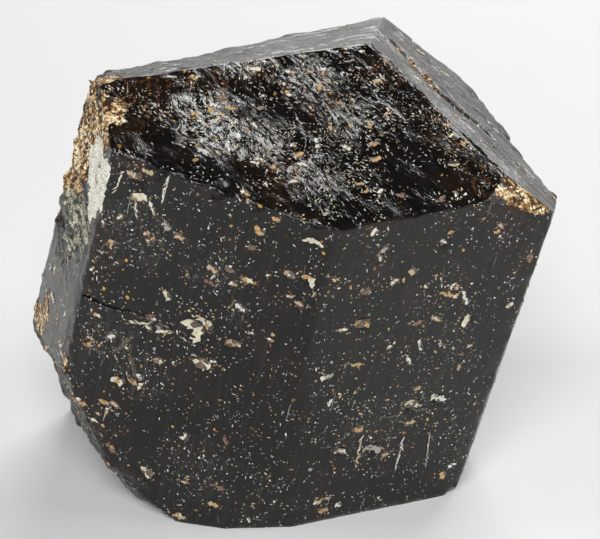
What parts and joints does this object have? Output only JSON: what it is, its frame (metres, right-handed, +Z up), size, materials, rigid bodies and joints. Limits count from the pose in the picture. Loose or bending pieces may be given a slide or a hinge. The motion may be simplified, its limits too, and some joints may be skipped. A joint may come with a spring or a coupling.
{
  "type": "dravite crystal",
  "caption": "Dark brown-black dravite crystal, a short prism under a low three-faced pyramid, standing on its broken foot.",
  "frame": {"origin": "under the middle of the crystal's bounding box, on the surface that it stands on", "axes": "+Z up; -Y towards the front, where the rough pyramid face looks; +X to the right seen from the front; the crystal's long axis leans about 15 degrees from +Z towards +X and -Y"},
  "size_m": [0.08, 0.073, 0.0687],
  "materials": {
    "dravite": "vitreous, near-black brown, opaque"
  },
  "bodies": {
    "root": {"dravite_crystal": "dravite"}
  },
  "joints": []
}
